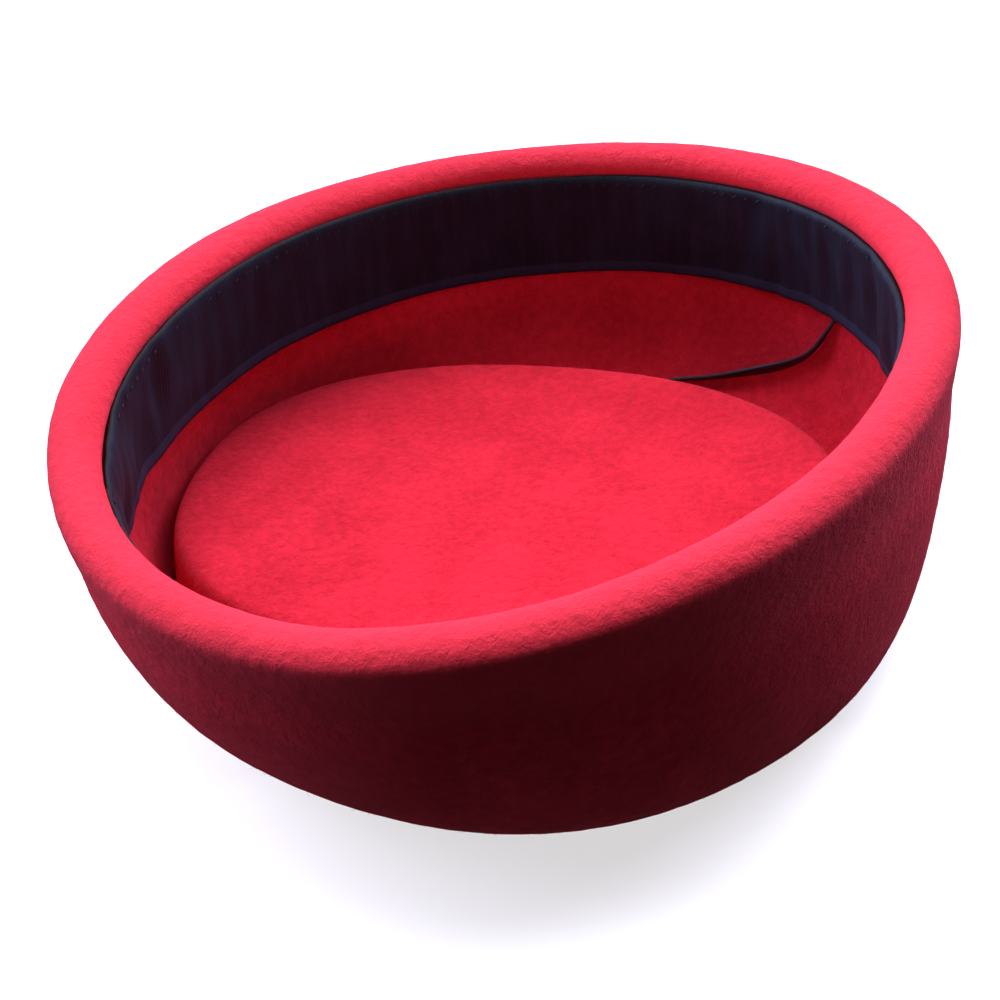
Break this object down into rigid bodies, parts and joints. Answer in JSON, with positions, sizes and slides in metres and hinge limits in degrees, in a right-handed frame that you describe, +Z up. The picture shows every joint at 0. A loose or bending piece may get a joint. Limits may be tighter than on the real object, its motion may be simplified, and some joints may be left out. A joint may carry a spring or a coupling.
{
  "type": "pillbox hat",
  "caption": "Oval pillbox hat of blocked wool felt with a rolled edge, a pushed-in tip and a ribbon sweatband, lying on its crown with the mouth up.",
  "frame": {"origin": "centre of the hat's bounding box in plan, on the plane that the foot of the crown rests on", "axes": "+X along the hat's long axis, towards its narrower end; +Z up, out of the mouth of the upturned hat; +Y completes a right-handed frame"},
  "size_m": [0.2181, 0.1879, 0.0787],
  "materials": {
    "felt": "matt brushed wool felt",
    "ribbon": "ribbed ribbon with a low sheen",
    "tape": "woven tape with a low sheen"
  },
  "bodies": {
    "root": {"felt_body": "felt", "sweatband": "ribbon", "inner_tape": "tape"}
  },
  "joints": []
}
